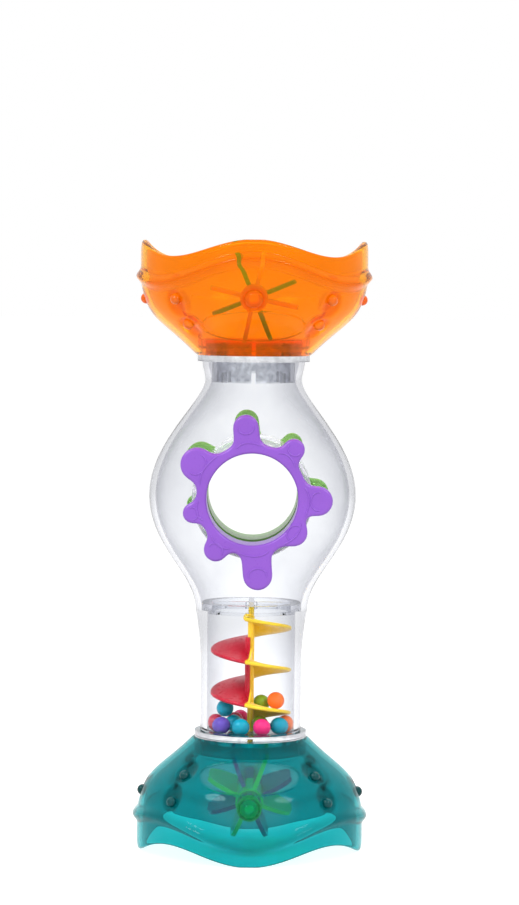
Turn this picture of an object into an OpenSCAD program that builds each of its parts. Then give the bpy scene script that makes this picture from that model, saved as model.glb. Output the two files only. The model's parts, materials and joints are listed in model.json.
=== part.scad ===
// Two-cup water wheel bath toy: a clear bulb and bead tube between two tinted cups.
// Each cup holds a paddle wheel, and a lobed hand ring turns in the hole through the bulb.
// Millimetres, +Z up, front towards -Y, origin on the ground under the middle of the toy.

/* [Cups] */
// Height of a cup from its rim tips to its narrow end
cup_h = 41.2; // [39:0.1:46]
// Outer radius of a cup's skirt
cup_r = 41; // [38:0.1:46]
// Wall of a cup
cup_wall = 2; // [1.5:0.1:2.6]
// Outer radius of a cup's narrow end
cup_neck_r = 20.7; // [20.2:0.1:23]
// Height of the skirt below the rounded shoulder
skirt_h = 13; // [10:0.1:15]
// How far the rim's four tips stand below its valleys
rim_wave = 6; // [2:0.1:7]
// Mean height of the raised ridge line round a cup
ridge_h = 12.4; // [11:0.1:14]
// How far the ridge stands proud of the skirt
ridge_out = 1.6; // [0.8:0.1:2.4]
// Half width of the ridge
ridge_half = 2.2; // [1.4:0.1:3]
// Radius of the small round studs on a cup
stud_r = 2; // [1.2:0.1:2.6]
// Radius of the dome over each end of a wheel's axle
dome_r = 3.6; // [2.4:0.1:4]

/* [Paddle wheels] */
// Drop of a wheel's axle below the cup's narrow end
axle_drop = 20.7; // [20.4:0.1:22]
// Radius of the axle pin
axle_r = 1.5; // [1:0.1:2]
// Tip radius of the blades
blade_r = 16.2; // [12:0.1:16.6]
// Half length of the blades along the axle
blade_half = 20; // [15:0.1:22]
// Thickness of a blade
blade_t = 1.5; // [1:0.1:2]
// Radius of a blade's rounded outer corners
blade_corner_r = 13.4; // [11:0.1:15]
// Radius of a wheel's hub
hub_r = 5; // [4:0.1:6]
// Half length of a wheel's hub
hub_half = 24.5; // [23:0.1:26]
// Radius of the boss inside the cup that carries the axle
boss_r = 4.4; // [3.4:0.1:5]

/* [Clear body] */
// Length of the bead tube
tube_len = 44.2; // [40:0.1:52]
// Outer radius of the bead tube
tube_r = 18.3; // [17.9:0.1:19]
// Inner radius of the bead tube
tube_inner_r = 15.9; // [15.5:0.1:16.2]
// Outer radius of the seam between tube and bulb
seam_r = 20.3; // [19.8:0.1:21.2]
// Height of the bulb from the seam to its top end
bulb_h = 89.6; // [87:0.1:96]
// Height of the bulb's widest level above the seam
belly_h = 41.2; // [40:0.1:43]
// Half width of the bulb at its widest
belly_r = 37.4; // [35:0.1:42]
// Half depth of the bulb, front to middle
bulb_half = 21; // [20:0.1:23]
// Outer radius of the bulb's narrow neck
neck_r = 17.5; // [17.2:0.1:18.4]
// Outer radius of the bulb's top end
bulb_end_r = 18.6; // [18.2:0.1:19.6]
// Height of the neck below the bulb's top end
neck_drop = 6.6; // [5:0.1:8]
// Wall of the bulb
bulb_wall = 2.2; // [1.8:0.1:2.6]
// Wall of the tube that lines the hole through the bulb
hole_wall = 2.4; // [1.8:0.1:3]

/* [Plugs] */
// Radius of a plug's flange
flange_r = 20.3; // [19.8:0.1:21]
// Thickness of a plug's flange
flange_t = 2.2; // [1.6:0.1:3]
// Outer radius of the snap skirt that goes into a cup
snap_r = 17.4; // [17:0.1:17.8]
// Length of the snap skirt
snap_len = 4.6; // [3.6:0.1:4.8]
// Radius of the spigot that goes into the bulb's neck
spigot_r = 15; // [14.4:0.1:15.2]
// Length of the spigot
spigot_len = 7.6; // [5:0.1:9]

/* [Spiral ramp] */
// Outer radius of the ramp
ramp_r = 14.6; // [12:0.1:15]
// Clear height under the ramp at the right, where its last quarter turn starts
ramp_clear = 6.24; // [6.2:0.02:7]
// Thickness of the ramp
ramp_t = 1.3; // [1:0.1:1.6]
// Radius of the ramp's post
post_r = 1.2; // [1:0.1:1.4]
// Radius of the pins at the ends of the post
pin_r = 1; // [0.8:0.1:1.2]

/* [Beads] */
// Radius of a bead
bead_r = 3.1; // [2.4:0.05:3.2]

/* [Hand ring] */
// Radius of the finger hole
finger_r = 16.3; // [15:0.1:17]
// Outer radius of the sleeve that turns in the bulb
sleeve_r = 19; // [18.8:0.1:20]
// Wall of the sleeve
sleeve_wall = 1; // [0.8:0.1:1.2]
// Thickness of a grip ring's lobed flange
grip_t = 4.3; // [3:0.1:6]
// Root radius between the lobes
grip_root_r = 19.6; // [19.4:0.1:21]
// Reach of the longest lobe from the hole's axis
lobe_reach = 32.4; // [30:0.1:35]
// Radius of a middling lobe's round end
lobe_end_r = 5; // [4:0.1:5.6]
// Radius of the blends between lobes
lobe_blend_r = 3.5; // [2:0.1:4.5]
// Length of the front ring's sleeve inside the hole
front_sleeve_len = 13; // [10:0.1:16]
// Length of the rear ring's sleeve inside the hole
rear_sleeve_len = 21; // [16:0.1:24]

/* [Fits] */
// Radial gap of a running fit
run_gap = 0.06; // [0.04:0.01:0.1]
// Gap between pieces that are pushed together by hand
seat_gap = 0.1; // [0.06:0.01:0.2]
// Gap between faces that pass each other
pass_gap = 0.3; // [0.25:0.05:0.5]

/* [Hidden] */

// Sides of true curves, and how far a cut runs past a face
$fn = 64;
overrun = 1;

// Levels of the stack, from the ground up
bottom_flange_z = cup_h;
tube_z = bottom_flange_z + flange_t;
seam_z = tube_z + tube_len;
belly_z = seam_z + belly_h;
bulb_top_z = seam_z + bulb_h;
neck_z = bulb_top_z - neck_drop;
top_cup_z = bulb_top_z + flange_t;
total_h = top_cup_z + cup_h;

// Cup outline: shares of the shoulder's radial and vertical run, as one cubic curve
shoulder_shares = [[0, 0], [0.055, 0.555], [0.37, 0.54], [1, 1]];
// The same curve's inward shift, in shares of the wall
shoulder_wall_shares = [[1, 0], [1, 0.68], [0.44, 0.85], [0.47, 0.95]];
rim_draft = 0.5;
rim_draft_h = 4;
rim_land_share = 0.027;
shoulder_steps = 14;
collar_wall = 2;
collar_len = 6.2;
collar_step = 0.8;
collar_step_h = 2.8;
ridge_two_share = 0.24;
ridge_four_share = 0.2;
ridge_sink = 0.3;
ridge_steps = 60;
ridge_sides = 6;
stud_low_h = 21.2;
stud_high_h = 30.2;
stud_sink_share = 0.3;
dimple_r = 12.5;
dimple_deep = 1.05;
dimple_rise = 1.4;

// Wheel fits
axle_h = cup_h - axle_drop;
axle_end_gap = 0.4;
wheel_end_gap = 0.5;
hub_fuse_share = 0.8;
blade_count = 4;
blade_angle = 360 / blade_count;
top_half_turn = 10;

// Bulb curves: shares of each half's height where the cubic's inner controls lie
lower_shares = [0.32, 0.55];
upper_shares = [0.457, 0.821];
lower_swell = 0.5;
upper_depth_share = 0.5;
square_share = 0.35;
bulb_steps = 11;
bulb_sides = 20;
hole_z = belly_z;
hole_r = sleeve_r + run_gap;
hole_outer_r = hole_r + hole_wall;
seat_face = bulb_half + pass_gap / 2;
rebate_r = seam_r - bulb_wall - seat_gap;

// Plug and holder details
slot_w = 1.6;
slot_count = 8;
snap_wall = 1.6;
snap_bead = 0.5;
snap_level = 3;
spigot_wall = 1.6;
register_h = 0.4;
register_wall = 0.8;
floor_drop = 0.6;
floor_z = tube_z - floor_drop;
holder_rim_h = 2.4;
holder_skirt_h = 1.1;
holder_wall = 1.4;
spoke_w = 2;
spoke_count = 4;
socket_r = 2.4;
tube_flare_h = 22;
flare_steps = 6;

// Ramp: top level, the angle by which yellow reaches past the front, and the red clip on the post
ramp_top_z = seam_z - holder_skirt_h - pass_gap - ramp_t / 2;
ramp_turns = 2.25;
ramp_pitch = (ramp_top_z - ramp_t - floor_z - ramp_clear) / ramp_turns;
ramp_steps = 20;
ramp_lap = 8;
gusset_h = 5;
gusset_len = 13;
gusset_turn = 4;
clip_wall = 0.9;
clip_turn = 3;

// Bead places: shares of the free radius across, then height in beads above the floor
bead_free_r = tube_inner_r - bead_r - seat_gap;
purple_shares = [[-0.8, -0.595, 0]];
teal_shares = [[-0.26, -0.96, 0], [0.8, -0.595, 0], [-0.724, -0.04, 1.72], [-0.475, -0.08, 0]];
pink_shares = [[0.32, -0.945, 0], [-0.3, 0.95, 0]];
orange_shares = [[0.989, -0.146, 0]];
green_shares = [[0.27, -0.365, 0]];
red_shares = [[-0.995, 0.024, 0], [-0.445, 0.445, 0]];
// Beads that lie on the ramp's lowest half turn: shares of the free radius across
orange_ramp_shares = [[0.717, -0.157]];
green_ramp_shares = [[0.307, 0.189]];
rest_rings = 4;
rest_sides = 24;

// Grip lobes: clockwise angle from up, reach share and end radius share
lobe_shares = [[-5.5, 0.932, 0.92], [39.5, 0.833, 0.78], [91, 0.885, 1.05], [128, 0.735, 0.96],
    [175.4, 1, 1.05], [215.5, 0.812, 0.86], [256.5, 0.78, 0.72], [302, 0.9, 1.2]];
lobe_neck_share = 0.84;
grip_edge = 0.7;
grip_fn = 40;

// Colours of the mouldings
clear_colour = [0.86, 0.9, 0.94, 0.45];
orange_colour = [1, 0.5, 0.05, 0.75];
teal_colour = [0.05, 0.65, 0.68, 0.75];
purple_colour = [0.56, 0.3, 0.82];
green_colour = [0.5, 0.78, 0.36];
yellow_colour = [0.98, 0.8, 0.16];
red_colour = [0.85, 0.22, 0.3];
pale_colour = [0.93, 0.93, 0.96];

// A point on a cubic curve, and a run of points along it
function cubic(p, t) =
    pow(1 - t, 3) * p[0] + 3 * t * pow(1 - t, 2) * p[1] + 3 * t * t * (1 - t) * p[2] + pow(t, 3) * p[3];
function cubic_run(p, n) = [for (i = [0:n]) cubic(p, i / n)];

// Shoulder of a cup: inset is zero on the outside and one wall on the inside
function shoulder(inset) = cubic_run([for (i = [0:3])
    [cup_r - shoulder_shares[i][0] * (cup_r - cup_neck_r) - shoulder_wall_shares[i][0] * inset,
     skirt_h + shoulder_shares[i][1] * (cup_h - skirt_h) - shoulder_wall_shares[i][1] * inset]], shoulder_steps);
function cup_outline(inset) = concat(
    [[0, -overrun], [cup_r - rim_draft - inset, -overrun], [cup_r - inset, rim_draft_h]],
    shoulder(inset));
function level(p) = [p[1], p[0]];
cup_levels = concat([[0, cup_r]], [for (p = shoulder(0)) level(p)]);
function cup_radius(h) = lookup(h, cup_levels);
// How far the outside leans back from upright at a height, in degrees
function cup_lean(h) = atan2(cup_radius(h - stud_r) - cup_radius(h + stud_r), 2 * stud_r);

// Height of the ridge line at an angle from the cup's front
function ridge_level(a) = ridge_h * (1 - ridge_two_share * cos(2 * a) - ridge_four_share * cos(4 * a));
function rim_level(a) = rim_wave * max(0, (1 - cos(4 * a)) / 2 - rim_land_share);

// Closed tube through rings of points: every ring has the same count, the last joins the first if looped
function ring_faces(rings, n, looped) = let (last = looped ? rings - 1 : rings - 2)
    [for (i = [0:last], j = [0:n - 1]) let (k = (i + 1) % rings, m = (j + 1) % n)
        each [[i * n + j, i * n + m, k * n + m], [i * n + j, k * n + m, k * n + j]]];

// A cup is drawn standing on its rim, and the upper one is turned over on the top of the stack
module at_top() {
    translate([0, 0, total_h]) rotate([180, 0, 0]) children();
}

module along_y(y0, y1, r) {
    translate([0, y0, 0]) rotate([-90, 0, 0]) cylinder(h = y1 - y0, r = r);
}

module ring(z0, z1, outer, inner) {
    translate([0, 0, z0]) difference() {
        cylinder(h = z1 - z0, r = outer);
        translate([0, 0, -overrun]) cylinder(h = z1 - z0 + 2 * overrun, r = inner);
    }
}

module slots(z0, z1, reach, count) {
    for (i = [0:count - 1])
        rotate([0, 0, i * 360 / count - 90])
            translate([0, -slot_w / 2, z0])
                cube([reach, slot_w, z1 - z0]);
}

// Cups

module ridge() {
    n = ridge_sides + 3;
    section = concat([[-cup_wall / 2, -ridge_half]],
        [for (k = [0:ridge_sides]) let (a = -90 + 180 * k / ridge_sides)
            [(ridge_out + ridge_sink) * cos(a) - ridge_sink, ridge_half * sin(a)]],
        [[-cup_wall / 2, ridge_half]]);
    points = [for (i = [0:ridge_steps - 1], s = section)
        let (a = 360 * i / ridge_steps, h = ridge_level(a), r = cup_radius(h) + s[0])
        [r * sin(a), -r * cos(a), h + s[1]]];
    polyhedron(points, ring_faces(ridge_steps, n, true));
}

module rim_cut() {
    reach = cup_r + overrun;
    edge = reach * sin(45);
    for (turn = [0, 90])
        rotate([90, 0, turn])
            linear_extrude(2 * reach, center = true)
                polygon(concat(
                    [for (a = [-45:5:45]) [reach * sin(a), rim_level(a)]],
                    [[edge, -2 * overrun], [-edge, -2 * overrun]]));
}

// Carries a child to a place on the cup's outside: out from the wall, and up along it
module on_cup(a, h, out, rise) {
    rotate([0, 0, a])
        translate([0, -cup_radius(h), h])
            rotate([-cup_lean(h), 0, 0])
                translate([0, -out, rise])
                    children();
}

module studs(out, rise) {
    for (a = [45:90:315]) {
        on_cup(a, stud_low_h, out, rise) children();
        on_cup(a, stud_high_h, out, rise) children();
    }
    for (a = [90, 270])
        on_cup(a, stud_low_h, out, rise) children();
}

module cup() {
    boss_end = cup_radius(axle_h) - cup_wall / 2;
    pin_end = boss_end - axle_end_gap / 2;
    collar_outer_r = snap_r + seat_gap + collar_wall;
    difference() {
        union() {
            difference() {
                union() {
                    difference() {
                        rotate_extrude() polygon(concat(cup_outline(0), [[0, cup_h]]));
                        studs(dimple_r - dimple_deep, dimple_rise) sphere(r = dimple_r);
                    }
                    studs(-stud_sink_share * stud_r, 0) rotate([90, 0, 0]) sphere(r = stud_r);
                    ridge();
                }
                rotate_extrude() polygon(concat(cup_outline(cup_wall),
                    [[0, cup_h - cup_wall * shoulder_wall_shares[3][1]]]));
            }
            ring(cup_h - collar_len, cup_h, collar_outer_r, snap_r + seat_gap);
            ring(cup_h - collar_len, cup_h - collar_step_h, collar_outer_r + collar_step, snap_r + seat_gap);
            for (turn = [0, 180])
                rotate([0, 0, turn]) translate([0, 0, axle_h]) {
                    along_y(hub_half + wheel_end_gap, boss_end, boss_r);
                    translate([0, cup_radius(axle_h) - dome_r * stud_sink_share, 0])
                        rotate([90, 0, 0]) sphere(r = dome_r);
                }
        }
        translate([0, 0, cup_h - collar_len - overrun])
            cylinder(h = collar_len + 2 * overrun, r = snap_r + seat_gap);
        translate([0, 0, cup_h - snap_level]) snap_ring(snap_bead + seat_gap);
        translate([0, 0, axle_h])
            for (turn = [0, 180])
                rotate([0, 0, turn])
                    along_y(hub_half, pin_end + axle_end_gap, axle_r + run_gap);
        rim_cut();
    }
}

module top_cup() {
    color(orange_colour) at_top() cup();
}

module bottom_cup() {
    color(teal_colour) cup();
}

// Paddle wheels: two four-blade halves whose blades reach past each other's hub

module petal(root) {
    side = blade_half - blade_corner_r;
    shoulder_r = blade_r - blade_corner_r;
    intersection() {
        translate([-blade_half, root]) square([2 * blade_half, blade_r - root]);
        union() {
            translate([-side, 0]) square([2 * side, blade_r]);
            translate([-blade_half, 0]) square([2 * blade_half, shoulder_r]);
            for (end = [-1, 1])
                translate([end * side, shoulder_r]) circle(r = blade_corner_r);
        }
    }
}

module wheel_half() {
    fused = hub_r * hub_fuse_share;
    clear_root = hub_r + pass_gap;
    difference() {
        union() {
            along_y(-hub_half, -pass_gap / 2, hub_r);
            for (i = [0:blade_count - 1])
                rotate([0, i * blade_angle + blade_angle / 4, 0])
                    translate([-blade_t / 2, 0, 0])
                        rotate([90, 0, 90])
                            linear_extrude(blade_t) difference() {
                                petal(fused);
                                translate([0, -overrun]) square([blade_half, clear_root + overrun]);
                            }
        }
        along_y(-hub_half - overrun, overrun, axle_r + seat_gap / 2);
    }
}

module wheel_first() {
    translate([0, 0, axle_h]) wheel_half();
}

// The second half faces the first, turned on from midway between its blades
module wheel_second(turn) {
    translate([0, 0, axle_h]) rotate([0, turn, 0]) rotate([0, 0, 180]) wheel_half();
}

module axle() {
    reach = cup_radius(axle_h) - cup_wall / 2 - axle_end_gap / 2;
    translate([0, 0, axle_h]) along_y(-reach, reach, axle_r);
}

module top_wheel_green() {
    color(green_colour) at_top() wheel_first();
}

module top_wheel_orange() {
    color(orange_colour) at_top() wheel_second(top_half_turn);
}

module top_axle() {
    color(orange_colour) at_top() axle();
}

module bottom_wheel_green() {
    color(green_colour) wheel_first();
}

module bottom_wheel_purple() {
    color(purple_colour) wheel_second(0);
}

module bottom_axle() {
    color(green_colour) axle();
}

// Clear body

// Rows of [half width, half depth, height, squareness share] from the seam to the top end
lower_rows = cubic_run([[seam_r, seam_r, seam_z, 0],
    [seam_r + lower_swell, bulb_half, seam_z + lower_shares[0] * belly_h, 0],
    [belly_r, bulb_half, seam_z + lower_shares[1] * belly_h, square_share],
    [belly_r, bulb_half, belly_z, square_share]], bulb_steps);
upper_h = neck_z - belly_z;
neck_depth = neck_r + upper_depth_share * (bulb_half - neck_r);
upper_rows = cubic_run([[belly_r, bulb_half, belly_z, square_share],
    [belly_r, bulb_half, belly_z + upper_shares[0] * upper_h, square_share],
    [neck_r, neck_depth, belly_z + upper_shares[1] * upper_h, 0],
    [neck_r, neck_r, neck_z, 0]], bulb_steps);
bulb_rows = concat(lower_rows, [for (i = [1:bulb_steps]) upper_rows[i]],
    [[bulb_end_r, bulb_end_r, bulb_top_z, 0]]);

// One half of a bulb section, an ellipse drawn towards a square, front side
function bulb_arc(row, inset) = let (power = 2 / (2 + row[3] * 2))
    [for (j = [0:bulb_sides]) let (a = 180 * j / bulb_sides, c = cos(a), s = sin(a))
        [(row[0] - inset) * sign(c) * pow(abs(c), power), -(row[1] - inset) * pow(abs(s), power), row[2]]];

module bulb_half_shell() {
    n = 2 * (bulb_sides + 1);
    rows = len(bulb_rows);
    points = [for (row = bulb_rows) let (inner = bulb_arc(row, bulb_wall))
        each concat(bulb_arc(row, 0), [for (j = [bulb_sides:-1:0]) inner[j]])];
    cap = [for (j = [0:bulb_sides - 1]) each [[j, j + 1, n - 2 - j], [j, n - 2 - j, n - 1 - j]]];
    top = (rows - 1) * n;
    faces = concat(ring_faces(rows, n, false), [for (f = cap) [f[0], f[2], f[1]]],
        [for (f = cap) [f[0] + top, f[1] + top, f[2] + top]]);
    difference() {
        union() {
            polyhedron(points, faces);
            translate([0, 0, hole_z]) along_y(-seat_face, 0, hole_outer_r);
        }
        translate([0, 0, hole_z]) along_y(-bulb_half - 2 * overrun, overrun, hole_r);
        translate([0, 0, seam_z - overrun]) cylinder(h = holder_rim_h + overrun + seat_gap, r = rebate_r + seat_gap);
        translate([0, 0, bulb_top_z - spigot_len - seat_gap])
            cylinder(h = spigot_len + overrun + seat_gap, r = spigot_r + seat_gap);
    }
}

module bulb_front() {
    color(clear_colour) bulb_half_shell();
}

module bulb_back() {
    color(clear_colour) mirror([0, 1, 0]) bulb_half_shell();
}

module bead_tube() {
    color(clear_colour)
        rotate_extrude()
            polygon([[tube_inner_r, tube_z], [tube_r, tube_z], [tube_r, seam_z - tube_flare_h],
                for (i = [1:flare_steps]) let (t = i / flare_steps)
                    [tube_r + (seam_r - tube_r) * t * t, seam_z - tube_flare_h * (1 - t)],
                [tube_inner_r, seam_z]]);
}

// Round bead on a plug's snap skirt, and with a larger radius the groove that takes it
module snap_ring(r) {
    rotate_extrude() translate([snap_r, 0]) circle(r = r);
}

// A plug is drawn with its cup side down: flange from zero up, snap skirt below
module plug_body() {
    difference() {
        union() {
            cylinder(h = flange_t, r = flange_r);
            ring(-snap_len, 0, snap_r, snap_r - snap_wall);
            translate([0, 0, -snap_level]) snap_ring(snap_bead);
        }
        slots(-snap_len - overrun, -flange_t / 4, snap_r + overrun, slot_count);
    }
}

module bottom_plug() {
    color(clear_colour) {
        translate([0, 0, bottom_flange_z]) difference() {
            plug_body();
            translate([0, 0, flange_t - floor_drop]) cylinder(h = floor_drop + overrun, r = tube_inner_r - register_wall);
            translate([0, 0, flange_t - floor_drop - pin_r]) cylinder(h = pin_r + overrun, r = pin_r + seat_gap);
        }
        ring(tube_z - floor_drop / 2, tube_z + register_h, tube_inner_r - seat_gap,
            tube_inner_r - register_wall);
    }
}

module top_plug() {
    color(clear_colour) {
        translate([0, 0, top_cup_z]) rotate([180, 0, 0]) plug_body();
        difference() {
            ring(bulb_top_z - spigot_len, bulb_top_z, spigot_r, spigot_r - spigot_wall);
            slots(bulb_top_z - spigot_len - overrun, bulb_top_z - spigot_len / 2, spigot_r + overrun, slot_count);
        }
    }
}

module spiral_holder() {
    skirt_r = tube_inner_r - seat_gap;
    color(clear_colour) difference() {
        union() {
            ring(seam_z, seam_z + holder_rim_h, rebate_r, skirt_r - holder_wall);
            difference() {
                ring(seam_z - holder_skirt_h, seam_z + overrun, skirt_r, skirt_r - holder_wall);
                slots(seam_z - holder_skirt_h - overrun, seam_z, skirt_r + overrun, slot_count);
            }
            translate([0, 0, seam_z]) cylinder(h = holder_rim_h, r = socket_r);
            for (i = [0:spoke_count - 1])
                rotate([0, 0, i * 360 / spoke_count])
                    translate([socket_r / 2, -spoke_w / 2, seam_z])
                        cube([skirt_r - holder_wall / 2 - socket_r / 2, spoke_w, holder_rim_h]);
        }
        translate([0, 0, seam_z - overrun]) cylinder(h = holder_rim_h, r = pin_r + seat_gap);
    }
}

// Spiral ramp: it winds down from the front, round the right to the back and on to the left

function ramp_z(a) = ramp_top_z - ramp_pitch * (a + 90) / 360;

module ramp_run(from, to, inner) {
    points = [for (i = [0:ramp_steps], e = [0:3])
        let (a = from + (to - from) * i / ramp_steps, r = e == 0 || e == 3 ? inner : ramp_r)
        [r * cos(a), r * sin(a), ramp_z(a) - (e > 1 ? ramp_t : 0)]];
    last = 4 * ramp_steps;
    faces = concat([for (f = ring_faces(ramp_steps + 1, 4, false)) [f[0], f[2], f[1]]],
        [[0, 1, 2], [0, 2, 3]], [[last, last + 2, last + 1], [last, last + 3, last + 2]]);
    polyhedron(points, faces);
}

// Upright web that stiffens the front edge of a yellow half turn
module gusset(a) {
    foot = ramp_z(a) - ramp_t / 2;
    rotate([90, 0, a])
        translate([0, 0, -ramp_t / 2]) linear_extrude(ramp_t / 2)
            polygon([[0, foot], [gusset_len, foot], [0, foot + gusset_h]]);
}

module spiral_yellow() {
    pin_top = seam_z + holder_rim_h - overrun - seat_gap;
    color(yellow_colour) {
        translate([0, 0, floor_z]) cylinder(h = ramp_top_z - floor_z, r = post_r);
        for (turn = [0, 360, 720])
            ramp_run(turn - 90 - ramp_lap, turn + 90, post_r / 2);
        for (turn = [360, 720])
            gusset(turn - 90 - ramp_lap + gusset_turn);
        translate([0, 0, floor_z - pin_r]) cylinder(h = pin_top - floor_z + pin_r, r = pin_r);
    }
}

module spiral_red() {
    clip_r = post_r + seat_gap;
    clip_low = ramp_z(630 - ramp_lap) - ramp_t;
    color(red_colour) {
        rotate([0, 0, 90 + clip_turn])
            rotate_extrude(angle = 180 - ramp_lap - 2 * clip_turn)
                translate([clip_r, clip_low]) square([clip_wall, ramp_z(90) - clip_low]);
        for (turn = [0, 360])
            ramp_run(turn + 90, turn + 270 - ramp_lap, clip_r + clip_wall / 2);
    }
}

// Beads lie loose on the plug's floor, on each other and on the lowest half turn

module beads(places) {
    for (p = places)
        translate([bead_free_r * p[0], bead_free_r * p[1], floor_z + bead_r * (1 + p[2])])
            sphere(r = bead_r);
}

// Height of a bead's middle when it lies on the ramp: no point of its underside is below the ramp
function ramp_rest(x, y) = pass_gap + max([for (i = [0:rest_rings - 1], k = [1:rest_sides])
    let (d = bead_r * i / rest_rings, t = 360 * k / rest_sides)
    ramp_z(720 + atan2(y + d * sin(t), x + d * cos(t))) + sqrt(bead_r * bead_r - d * d)]);

module ramp_beads(places) {
    for (p = places) {
        x = bead_free_r * p[0];
        y = bead_free_r * p[1];
        translate([x, y, ramp_rest(x, y)]) sphere(r = bead_r);
    }
}

module beads_purple() {
    color([0.5, 0.35, 0.75]) beads(purple_shares);
}

module beads_teal() {
    color([0.0, 0.66, 0.72]) beads(teal_shares);
}

module beads_pink() {
    color([0.95, 0.2, 0.5]) beads(pink_shares);
}

module beads_orange() {
    color([1, 0.5, 0.2]) {
        beads(orange_shares);
        ramp_beads(orange_ramp_shares);
    }
}

module beads_green() {
    color([0.5, 0.7, 0.2]) {
        beads(green_shares);
        ramp_beads(green_ramp_shares);
    }
}

module beads_red() {
    color([0.82, 0.15, 0.3]) beads(red_shares);
}

// Hand ring: two lobed grips whose sleeves plug into a joiner that turns in the bulb

module lobes_flat() {
    offset(r = -lobe_blend_r, $fn = grip_fn)
        offset(delta = lobe_blend_r, $fn = grip_fn)
            union() {
                circle(r = grip_root_r, $fn = grip_fn * 2);
                for (lobe = lobe_shares) {
                    end_r = lobe_end_r * lobe[2];
                    reach = lobe_reach * lobe[1] - end_r;
                    rotate(-lobe[0]) {
                        translate([0, reach]) circle(r = end_r, $fn = grip_fn);
                        translate([-end_r * lobe_neck_share, 0])
                            square([2 * end_r * lobe_neck_share, reach]);
                    }
                }
            }
}

module lobed_flange() {
    rotate([90, 0, 0]) {
        linear_extrude(grip_t - grip_edge) lobes_flat();
        linear_extrude(grip_t) offset(delta = -grip_edge) lobes_flat();
    }
}

module grip_ring(face, away, sleeve_len) {
    difference() {
        union() {
            translate([0, -face, 0]) lobed_flange();
            along_y(-face - away, -face + sleeve_len, sleeve_r - sleeve_wall - seat_gap / 2);
        }
        along_y(-face - grip_t - overrun, overrun, finger_r);
    }
}

grip_face = seat_face + pass_gap / 2;

module front_grip_ring() {
    color(purple_colour)
        translate([0, 0, hole_z]) grip_ring(grip_face, grip_t / 2, front_sleeve_len);
}

module rear_grip_ring() {
    color(green_colour)
        translate([0, 0, hole_z]) mirror([0, 1, 0]) grip_ring(grip_face, grip_t / 2, rear_sleeve_len);
}

module hub_joiner() {
    color(pale_colour)
        translate([0, 0, hole_z]) difference() {
            along_y(-grip_face, grip_face, sleeve_r);
            along_y(-grip_face - overrun, grip_face + overrun, sleeve_r - sleeve_wall);
        }
}

bulb_front();
bulb_back();
bead_tube();
spiral_holder();
top_plug();
bottom_plug();
spiral_yellow();
spiral_red();
beads_purple();
beads_teal();
beads_pink();
beads_orange();
beads_green();
beads_red();
front_grip_ring();
rear_grip_ring();
hub_joiner();
top_cup();
bottom_cup();
top_wheel_green();
top_wheel_orange();
top_axle();
bottom_wheel_green();
bottom_wheel_purple();
bottom_axle();
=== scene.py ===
"""Looks of the two-cup water wheel bath toy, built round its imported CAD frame.

The frame is in metres, with +Z up and the front towards -Y. Sizes in this script are in millimetres
unless a name or comment says otherwise, and each mesh is scaled to metres when it is made.
"""

import bisect
import json
import math

import bmesh
import bpy
from mathutils import Matrix, Vector


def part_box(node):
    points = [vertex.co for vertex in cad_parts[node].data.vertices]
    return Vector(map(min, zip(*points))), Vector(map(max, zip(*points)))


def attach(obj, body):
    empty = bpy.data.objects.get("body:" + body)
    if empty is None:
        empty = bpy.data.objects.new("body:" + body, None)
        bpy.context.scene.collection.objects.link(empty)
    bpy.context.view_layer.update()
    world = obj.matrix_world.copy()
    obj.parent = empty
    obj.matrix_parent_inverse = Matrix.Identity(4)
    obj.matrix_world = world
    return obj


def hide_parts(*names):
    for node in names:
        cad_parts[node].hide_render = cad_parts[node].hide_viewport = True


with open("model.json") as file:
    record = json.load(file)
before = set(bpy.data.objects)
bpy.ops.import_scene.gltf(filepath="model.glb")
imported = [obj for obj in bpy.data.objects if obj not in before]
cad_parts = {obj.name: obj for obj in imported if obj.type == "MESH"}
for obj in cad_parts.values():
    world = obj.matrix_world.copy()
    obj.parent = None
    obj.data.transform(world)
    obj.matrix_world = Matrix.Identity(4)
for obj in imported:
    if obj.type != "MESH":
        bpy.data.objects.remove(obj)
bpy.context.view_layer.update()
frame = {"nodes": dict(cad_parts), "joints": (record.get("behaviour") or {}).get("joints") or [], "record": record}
nodes = frame["nodes"]
scene = bpy.context.scene

MM = 0.001
TAU = 2 * math.pi

# Sizes that the frame gives
cup_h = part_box("bottom_cup")[1].z / MM
total_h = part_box("top_cup")[1].z / MM
tube_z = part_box("bead_tube")[0].z / MM
seam_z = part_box("bead_tube")[1].z / MM
seam_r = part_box("bead_tube")[1].x / MM
bulb_top_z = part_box("bulb_front")[1].z / MM
belly_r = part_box("bulb_front")[1].x / MM
seat_face = -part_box("bulb_front")[0].y / MM
joint_z = {joint["child"]: joint["pos_m"][2] / MM for joint in frame["joints"]}
hole_z = joint_z["hand_ring"]
axle_h = joint_z["bottom_wheel"]

# Faces of two clear pieces that meet stay this far apart, so that each keeps its own surface
SKIN = 0.04


# Meshes

# Degrees past which an edge stays sharp
SMOOTH_ANGLE = 35
# Girth of a round bar's end sections, as a share of its own
END_GIRTH_SHARE = 0.55
# Sides of a thin raised line
LINE_SIDES = 8


def make_piece(name, points, faces):
    """A mesh object from points in millimetres."""
    mesh = bpy.data.meshes.new(name)
    mesh.from_pydata([(x * MM, y * MM, z * MM) for x, y, z in points], [], faces)
    piece = bpy.data.objects.new(name, mesh)
    scene.collection.objects.link(piece)
    soften(piece)
    return piece


def soften(piece):
    """Outward normals and smooth shading, but for sharp edges."""
    bm = bmesh.new()
    bm.from_mesh(piece.data)
    bmesh.ops.recalc_face_normals(bm, faces=bm.faces)
    for face in bm.faces:
        face.smooth = True
    limit = math.radians(SMOOTH_ANGLE)
    for edge in bm.edges:
        edge.smooth = edge.calc_face_angle(0) < limit
    bm.to_mesh(piece.data)
    bm.free()


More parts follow.
